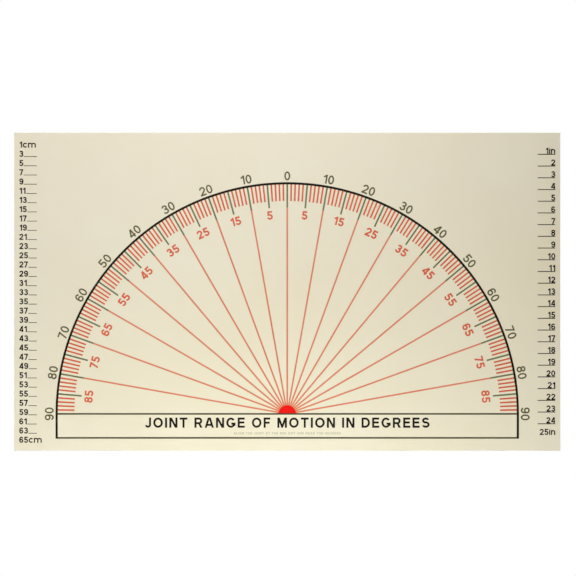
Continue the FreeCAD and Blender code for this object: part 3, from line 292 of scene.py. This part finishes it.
def powder_coat(name, tone):
    """Powder coat over bent steel: orange peel, a soft skin gloss, and duller clouds and pits."""
    look = Look(name, roughness=0.42)
    look.soften(0.6 * MM)
    peel = look.noise(scale=620, detail=2.5, roughness=0.45)
    clouds = look.noise(scale=14, detail=2.0)
    duller = brighter(tone, 0.88)
    base = look.mix(look.spread(clouds, 0.0, 0.5), tone, duller)
    pits = look.spread(look.cells(900), 0.0, 0.12, start=0.55, end=0.8)
    look.colour(look.mix(pits, base, duller))
    look.roughness(look.spread(peel, 0.36, 0.5))
    look.constant("Coat Weight", 0.18)
    look.constant("Coat Roughness", 0.25)
    look.bump(peel, strength=0.35, distance=0.06 * MM)
    return look.material


def plated(name, tone, warm):
    """Bright metal with drifting passivation tints and fine handling scratches."""
    look = Look(name, roughness=0.3, metallic=1.0)
    look.soften(0.12 * MM)
    drift = look.noise(scale=70, detail=3.0, roughness=0.6)
    look.colour(look.mix(look.spread(drift, 0.0, 0.7), tone, warm))
    scratches = look.noise(scale=1.0, detail=4.0, roughness=0.7, stretch=(2400, 2400, 160))
    look.roughness(look.spread(scratches, 0.2, 0.42))
    look.bump(scratches, strength=0.1, distance=0.02 * MM)
    return look.material


def moulded(name, tone, rough, grain, height):
    """Moulded plastic or rubber with an even etched grain, scuffed paler in places."""
    look = Look(name, rough)
    look.soften(0.3 * MM)
    etched = look.noise(grain, detail=3.0, roughness=0.55)
    scuffs = look.noise(scale=60, detail=4.0, roughness=0.7)
    paler = brighter(tone, 1.25, lift=0.01)
    look.colour(look.mix(look.spread(scuffs, 0.0, 0.5, start=0.5, end=0.8), tone, paler))
    look.roughness(look.spread(scuffs, rough - 0.06, rough + 0.1))
    look.bump(etched, strength=0.4, distance=height)
    return look.material


def acetal(name):
    """Natural acetal: milky, slightly see-through, with faint machining lines."""
    look = Look(name, roughness=0.36)
    look.soften(0.4 * MM)
    clouds = look.noise(scale=45, detail=2.0)
    look.colour(look.mix(look.spread(clouds, 0.0, 0.6), paint(240, 240, 234), paint(228, 228, 218)))
    look.constant("Subsurface Weight", 0.25)
    look.constant("Subsurface Scale", 2 * MM)
    lines = look.noise(scale=1.0, detail=3.0, stretch=(1200, 1200, 40))
    look.roughness(look.spread(lines, 0.3, 0.46))
    look.bump(lines, strength=0.12, distance=0.03 * MM)
    return look.material


def fibreboard(name):
    """Dense wood fibre: short pale and dark fibres pressed flat."""
    look = Look(name, roughness=0.86)
    fibres = look.noise(scale=1.0, detail=6.0, roughness=0.75, stretch=(180, 900, 180))
    look.colour(look.mix(look.spread(fibres, 0.0, 1.0), paint(176, 142, 104), paint(132, 98, 66)))
    look.bump(fibres, strength=0.6, distance=0.1 * MM)
    return look.material


def make_looks():
    """One finish for each material slot, finer inks, and aluminium once for each direction of extrusion."""
    looks = {
        "face_laminate": laminate("face_laminate", paint(239, 232, 210), paint(236, 226, 198), gloss=0.42),
        "back_laminate": laminate("back_laminate", paint(232, 230, 224), paint(224, 221, 212), gloss=0.55),
        "edge_banding": laminate("edge_banding", paint(238, 233, 214), paint(233, 226, 203), gloss=0.4),
        "board_core": fibreboard("board_core"),
    }
    for name, (full, thin, speckle) in INKS.items():
        looks[name] = ink(name, paint(*full), paint(*thin), speckle)
    looks["painted_steel"] = powder_coat("painted_steel", paint(206, 207, 203))
    looks["zinc_steel"] = plated("zinc_steel", paint(212, 214, 216), paint(214, 206, 188))
    looks["brass"] = plated("brass", paint(226, 190, 118), paint(206, 164, 92))
    looks["white_acetal"] = acetal("white_acetal")
    looks["black_plastic"] = moulded(
        "black_plastic", paint(38, 38, 40), rough=0.44, grain=1500, height=0.06 * MM
    )
    looks["rubber"] = moulded("rubber", paint(44, 43, 42), rough=0.78, grain=700, height=0.09 * MM)
    silver = paint(222, 223, 224)
    for axis in "XYZ":
        looks[f"anodised_aluminium_{axis}"] = aluminium(f"anodised_aluminium_{axis}", axis, silver)
    return looks


def longest_axis(node_name):
    """The axis along which a node is longest, which is the way it was extruded."""
    low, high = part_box(node_name)
    size = high - low
    return "XYZ"[max(range(3), key=lambda i: size[i])]


def dress_nodes(looks):
    """Gives each CAD node the finish of its slot; a node's first material is named after its slot."""
    for name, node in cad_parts.items():
        slot = node.data.materials[0].name.split(".")[0]
        if slot == "anodised_aluminium":
            slot += "_" + longest_axis(name)
        if name in FINE_PRINT:
            slot += "_fine"
        node.data.materials.clear()
        node.data.materials.append(looks[slot])


# ---------------------------------------------------------------- finer pieces


def add_piece(name, verts, faces, look, body, node, sharp):
    """Makes a mesh piece that rides on a body and stands for a CAD node. Edges over sharp degrees stay hard."""
    mesh = bpy.data.meshes.new(name)
    mesh.from_pydata(verts, [], faces)
    shape = bmesh.new()
    shape.from_mesh(mesh)
    bmesh.ops.recalc_face_normals(shape, faces=shape.faces)
    shape.to_mesh(mesh)
    shape.free()
    mesh.shade_smooth()
    mesh.set_sharp_from_angle(angle=math.radians(sharp))
    mesh.materials.append(look)
    piece = bpy.data.objects.new(name, mesh)
    bpy.context.collection.objects.link(piece)
    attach(piece, body)
    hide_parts(node)


def outline_path(drop):
    """The outline's run as (across, up, drop): a unit half circle, with a straight leg down at each end."""
    path = [(-1.0, 0.0, drop)]
    for i in range(OUTLINE_STEPS + 1):
        angle = math.pi * i / OUTLINE_STEPS
        path.append((-math.cos(angle), math.sin(angle), 0.0))
    path.append((1.0, 0.0, drop))
    return path


def dial_outline(looks):
    """The half circle and the band's short sides, drawn with a much finer curve than the CAD mesh."""
    low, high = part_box("dial_outline")
    outer = (high.x - low.x) / 2
    middle = (high.x + low.x) / 2
    level = high.z - outer
    path = outline_path(low.z - level)
    verts = []
    for across, up, drop in path:
        for radius in (outer, outer - OUTLINE_WIDTH):
            for y in (low.y, high.y):
                verts.append((middle + across * radius, y, level + up * radius + drop))
    # Each point of the path has four vertices, in the order outer front, outer back, inner front, inner back.
    faces = [(0, 1, 3, 2)]
    for a in range(0, 4 * (len(path) - 1), 4):
        b = a + 4
        faces += [(a, a + 1, b + 1, b), (a + 2, a + 3, b + 3, b + 2)]
        faces += [(a, a + 2, b + 2, b), (a + 1, a + 3, b + 3, b + 1)]
    last = 4 * (len(path) - 1)
    faces.append((last, last + 1, last + 3, last + 2))
    add_piece(
        "printed_outline", verts, faces, looks["black_ink"], "board", "dial_outline", sharp=40
    )


# The line along X that a clamp's knob turns on: the way outwards, and the point where a piece starts.
Axle = namedtuple("Axle", "side start y z")


def find_axle(side_name, node):
    """The axle of a clamp, from the inner end of one of its nodes, and that node's length."""
    side = SIDES[side_name]
    screw_low, screw_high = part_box(f"{side_name}_clamp_screw")
    low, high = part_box(node)
    start = high.x if side < 0 else low.x
    middle = (screw_low + screw_high) / 2
    return Axle(side, start, middle.y, middle.z), high.x - low.x


def stations(profile, start, radius):
    """Distances and radii in metres from a profile in millimetres."""
    return [(start + distance * MM, radius + change * MM) for distance, change in profile]


def rings(axle, places, steps, outline=None):
    """Vertices of rings round an axle, one for each (distance, radius). outline shapes a ring by its angle."""
    verts = []
    for distance, ring_radius in places:
        for i in range(steps):
            angle = 2 * math.pi * i / steps
            radius = outline(angle, ring_radius) if outline else ring_radius
            y = axle.y + radius * math.cos(angle)
            z = axle.z + radius * math.sin(angle)
            verts.append((axle.start + axle.side * distance, y, z))
    return verts


def ring_faces(count, steps, base=0):
    """Quads between successive rings, and a face over each end; base is the first ring's first vertex."""
    faces = []
    for ring in range(count - 1):
        for i in range(steps):
            j = (i + 1) % steps
            a = base + ring * steps
            b = a + steps
            faces.append((a + i, a + j, b + j, b + i))
    last = base + (count - 1) * steps
    faces.append(tuple(range(base, base + steps)))
    faces.append(tuple(range(last, last + steps)))
    return faces


def thread(axle, length, crest):
    """Vertices and faces of a helical thread between the nose and the screw's outer end.

    A row is one step of the profile, and runs once round the axle while it advances by one pitch. So a row's
    last vertex joins the first vertex of the row that lies a whole profile further on.
    """
    per_turn = len(THREAD_PROFILE)
    rows = int((length - NOSE_LENGTH) / THREAD_PITCH) * per_turn
    verts, faces = [], []
    for row in range(rows + 1):
        for i in range(THREAD_STEPS):
            angle = 2 * math.pi * i / THREAD_STEPS
            distance = NOSE_LENGTH + (row / per_turn + i / THREAD_STEPS - 0.5) * THREAD_PITCH
            distance = min(max(distance, NOSE_LENGTH), length)
            ends = min(distance - NOSE_LENGTH, length - distance)
            height = THREAD_PROFILE[row % per_turn] * max(0.0, min(1.0, ends / THREAD_RUNOUT))
            radius = crest - THREAD_DEPTH * (1 - height)
            y = axle.y + radius * math.cos(angle)
            z = axle.z + axle.side * radius * math.sin(angle)
            verts.append((axle.start + axle.side * distance, y, z))
            closing = i == THREAD_STEPS - 1
            near = row + per_turn if closing else row
            if near < rows:
                j = (i + 1) % THREAD_STEPS
                a, b = row * THREAD_STEPS, near * THREAD_STEPS
                faces.append((a + i, b + j, b + THREAD_STEPS + j, a + THREAD_STEPS + i))
    return verts, faces


def clamp_screw(side_name, looks):
    """A screw with a real helical thread, and a turned nose whose end lies inside the thread."""
    node = f"{side_name}_clamp_screw"
    axle, length = find_axle(side_name, node)
    low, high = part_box(node)
    verts, faces = thread(axle, length, (high.z - low.z) / 2 - CREST_SHRINK)
    nose = [
        (0.0, NOSE_RADIUS - NOSE_CHAMFER),
        (NOSE_CHAMFER, NOSE_RADIUS),
        (NOSE_LENGTH, NOSE_RADIUS),
        (NOSE_LENGTH, NOSE_RADIUS + NOSE_SHOULDER),
        (NOSE_LENGTH + THREAD_PITCH, NOSE_RADIUS + NOSE_SHOULDER),
    ]
    faces += ring_faces(len(nose), THREAD_STEPS, base=len(verts))
    verts += rings(axle, nose, THREAD_STEPS)
    name, body = f"{side_name}_threaded_screw", f"{side_name}_knob"
    add_piece(name, verts, faces, looks["zinc_steel"], body, node, sharp=50)


def lobed(knob_radius, angle, radius):
    """A star knob's outline: a circle with a scallop between each two lobes, the corners rounded.

    radius is that of the circle; the scallops move in or out with it.
    """
    centre, scallop = knob_radius * SCALLOP_CENTRE, knob_radius * SCALLOP_RADIUS
    sector = 2 * math.pi / KNOB_LOBES
    near = (angle + sector / 2) % sector - sector / 2
    inside = scallop**2 - (centre * math.sin(near)) ** 2
    if inside <= 0:
        gap = centre * abs(math.sin(near)) - scallop
        return radius - max(0.0, LOBE_CORNER - gap) ** 2 / (4 * LOBE_CORNER)
    cut = centre * math.cos(near) - math.sqrt(inside) + radius - knob_radius
    bend = max(LOBE_CORNER - abs(radius - cut), 0.0) / LOBE_CORNER
    return min(radius, cut) - bend * bend * LOBE_CORNER / 4


def lock_knob(side_name, looks):
    """The star knob with crowned lobes, a draft angle, a collar on its hub and a recess for its cap."""
    node = f"{side_name}_lock_knob"
    axle, _ = find_axle(side_name, node)
    low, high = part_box(node)
    radius = max(high.z - axle.z, axle.z - low.z, high.y - axle.y, axle.y - low.y)
    front = HUB_LENGTH + GRIP_LENGTH
    hub = stations(HUB_FROM_START, 0.0, HUB_RADIUS) + stations(HUB_FROM_GRIP, HUB_LENGTH, HUB_RADIUS)
    grip = stations(GRIP_FROM_BACK, HUB_LENGTH, radius) + stations(GRIP_FROM_FRONT, front, radius)
    recess = stations(RECESS_FROM_FRONT, front, CAP_RECESS)
    verts = rings(axle, hub, KNOB_STEPS)
    verts += rings(axle, grip, KNOB_STEPS, lambda angle, size: lobed(radius, angle, size))
    verts += rings(axle, recess, KNOB_STEPS)
    faces = ring_faces(len(hub) + len(grip) + len(recess), KNOB_STEPS)
    name, body = f"{side_name}_star_knob", f"{side_name}_knob"
    add_piece(name, verts, faces, looks["black_plastic"], body, node, sharp=55)


def knob_cap(side_name, looks):
    """A low domed cover with a fine groove inside its rim."""
    node = f"{side_name}_knob_cap"
    axle, length = find_axle(side_name, node)
    low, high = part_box(node)
    radius = (high.z - low.z) / 2
    rim = length - RIM_DROP
    places = stations(CAP_FROM_START, 0.0, radius) + stations(CAP_FROM_RIM, rim, radius)
    for share in DOME_RINGS:
        places.append((rim + DOME_FOOT + DOME_HEIGHT * (1 - share**2), (radius - DOME_INSET) * share))
    verts = rings(axle, places, CAP_STEPS)
    faces = ring_faces(len(places), CAP_STEPS)
    name, body = f"{side_name}_domed_cap", f"{side_name}_knob"
    add_piece(name, verts, faces, looks["black_plastic"], body, node, sharp=50)


# ---------------------------------------------------------------- studio


def add_light(name, place, aim, size, power, colour):
    """A softbox aimed at a point, not seen by the camera."""
    data = bpy.data.lights.new(name, "AREA")
    data.shape = "RECTANGLE"
    data.size, data.size_y = size
    data.energy = power
    data.color = paint(*colour)[:3]
    light = bpy.data.objects.new(name, data)
    light.location = place
    light.rotation_euler = (Vector(aim) - Vector(place)).to_track_quat("-Z", "Y").to_euler()
    light.visible_camera = False
    bpy.context.collection.objects.link(light)


def front_lights():
    """Softboxes in front of the board: low, left, above and right."""
    add_light("low_softbox", place=(-0.05, -0.7, -0.75), aim=(0, 0, -0.3), size=(1.2, 0.4),
              power=5.2, colour=(250, 255, 248))
    add_light("left_softbox", place=(-1.6, -1.6, 0.5), aim=(0, 0, 0), size=(1.0, 1.2),
              power=7.4, colour=(252, 246, 250))
    add_light("top_softbox", place=(-0.1, -1.15, 1.1), aim=(0, 0, 0), size=(1.0, 0.6),
              power=12.9, colour=(249, 250, 255))
    add_light("right_softbox", place=(1.7, -1.5, -0.3), aim=(0.3, 0, -0.2), size=(0.9, 1.0),
              power=1.3, colour=(255, 240, 222))


def back_lights():
    """Two softboxes behind the board for its wall side, and one overhead for the floor."""
    add_light("back_softbox", place=(-1.6, 2.2, 1.4), aim=(0, 0, 0), size=(1.4, 1.4),
              power=26.0, colour=(255, 252, 248))
    add_light("back_fill", place=(2.2, 2.0, 0.4), aim=(0, 0, 0), size=(1.2, 1.4),
              power=11.0, colour=(246, 250, 255))
    add_light("floor_softbox", place=(0, 0.9, 2.8), aim=(0, 0.9, 0), size=(2.4, 1.4),
              power=120.0, colour=(255, 254, 251))


def backdrop():
    """Pure white behind the object, and a soft light from above for everything else."""
    world = bpy.data.worlds.new("studio")
    bpy.context.scene.world = world
    world.use_nodes = True
    nodes, links = world.node_tree.nodes, world.node_tree.links
    nodes.clear()
    white, room = nodes.new("ShaderNodeBackground"), nodes.new("ShaderNodeBackground")
    white.inputs["Color"].default_value = (1, 1, 1, 1)
    room.inputs["Strength"].default_value = ROOM_STRENGTH
    # The room's light grows paler with height.
    height = nodes.new("ShaderNodeSeparateXYZ")
    links.new(nodes.new("ShaderNodeTexCoord").outputs["Generated"], height.inputs["Vector"])
    shifted = nodes.new("ShaderNodeMapRange")
    shifted.inputs["From Min"].default_value, shifted.inputs["From Max"].default_value = ROOM_HEIGHTS
    links.new(height.outputs["Z"], shifted.inputs["Value"])
    ramp = nodes.new("ShaderNodeValToRGB")
    ramp.color_ramp.elements[0].color = paint(150, 146, 138)
    ramp.color_ramp.elements[1].color = paint(250, 249, 246)
    links.new(shifted.outputs["Result"], ramp.inputs["Fac"])
    links.new(ramp.outputs["Color"], room.inputs["Color"])
    # What is seen directly is white, and what falls on the object is the room.
    mixer = nodes.new("ShaderNodeMixShader")
    links.new(nodes.new("ShaderNodeLightPath").outputs["Is Camera Ray"], mixer.inputs["Fac"])
    links.new(room.outputs["Background"], mixer.inputs[1])
    links.new(white.outputs["Background"], mixer.inputs[2])
    links.new(mixer.outputs["Shader"], nodes.new("ShaderNodeOutputWorld").inputs["Surface"])


def floor_look():
    """A pale matt floor that turns into white light towards its rim."""
    look = Look("studio_floor", roughness=0.7)
    grain = look.noise(scale=30, detail=3.0)
    look.colour(look.mix(look.spread(grain, 0.0, 0.4), paint(236, 236, 234), paint(229, 229, 227)))
    nodes, links = look.nodes, look.links
    distance = nodes.new("ShaderNodeVectorMath")
    distance.operation = "LENGTH"
    links.new(look.place, distance.inputs[0])
    start, end = (share * FLOOR_RADIUS for share in FLOOR_FADE)
    fade = look.spread(distance.outputs["Value"], 0.0, 1.0, start, end)
    glow = nodes.new("ShaderNodeEmission")
    blend = nodes.new("ShaderNodeMixShader")
    links.new(fade, blend.inputs["Fac"])
    links.new(look.surface.outputs["BSDF"], blend.inputs[1])
    links.new(glow.outputs["Emission"], blend.inputs[2])
    links.new(blend.outputs["Shader"], nodes["Material Output"].inputs["Surface"])
    return look.material


def floor():
    """A round floor below the board."""
    mesh = bpy.data.meshes.new("studio_floor")
    shape = bmesh.new()
    bmesh.ops.create_circle(shape, cap_ends=True, segments=128, radius=FLOOR_RADIUS)
    shape.to_mesh(mesh)
    shape.free()
    mesh.materials.append(floor_look())
    piece = bpy.data.objects.new("studio_floor", mesh)
    piece.matrix_world = Matrix.Translation((0, 0, FLOOR_LEVEL))
    bpy.context.collection.objects.link(piece)
    piece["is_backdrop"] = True


def camera():
    """A long lens square on to the board, a little right of its middle and above it."""
    low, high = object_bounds()
    data = bpy.data.cameras.new("studio_camera")
    data.lens = LENS
    data.sensor_width = SENSOR
    distance = (high.x - low.x) * MARGIN * LENS / SENSOR
    data.clip_end = 4 * distance
    piece = bpy.data.objects.new("studio_camera", data)
    middle = (low + high) / 2
    piece.location = Vector((middle.x, low.y - distance, middle.z)) + CAMERA_OFFSET
    piece.rotation_euler = (math.radians(90), 0, 0)
    bpy.context.collection.objects.link(piece)
    bpy.context.scene.camera = piece


looks = make_looks()
dress_nodes(looks)
dial_outline(looks)
for side_name in SIDES:
    clamp_screw(side_name, looks)
    lock_knob(side_name, looks)
    knob_cap(side_name, looks)
backdrop()
front_lights()
back_lights()
floor()
camera()
bpy.context.scene.view_settings.view_transform = "Standard"
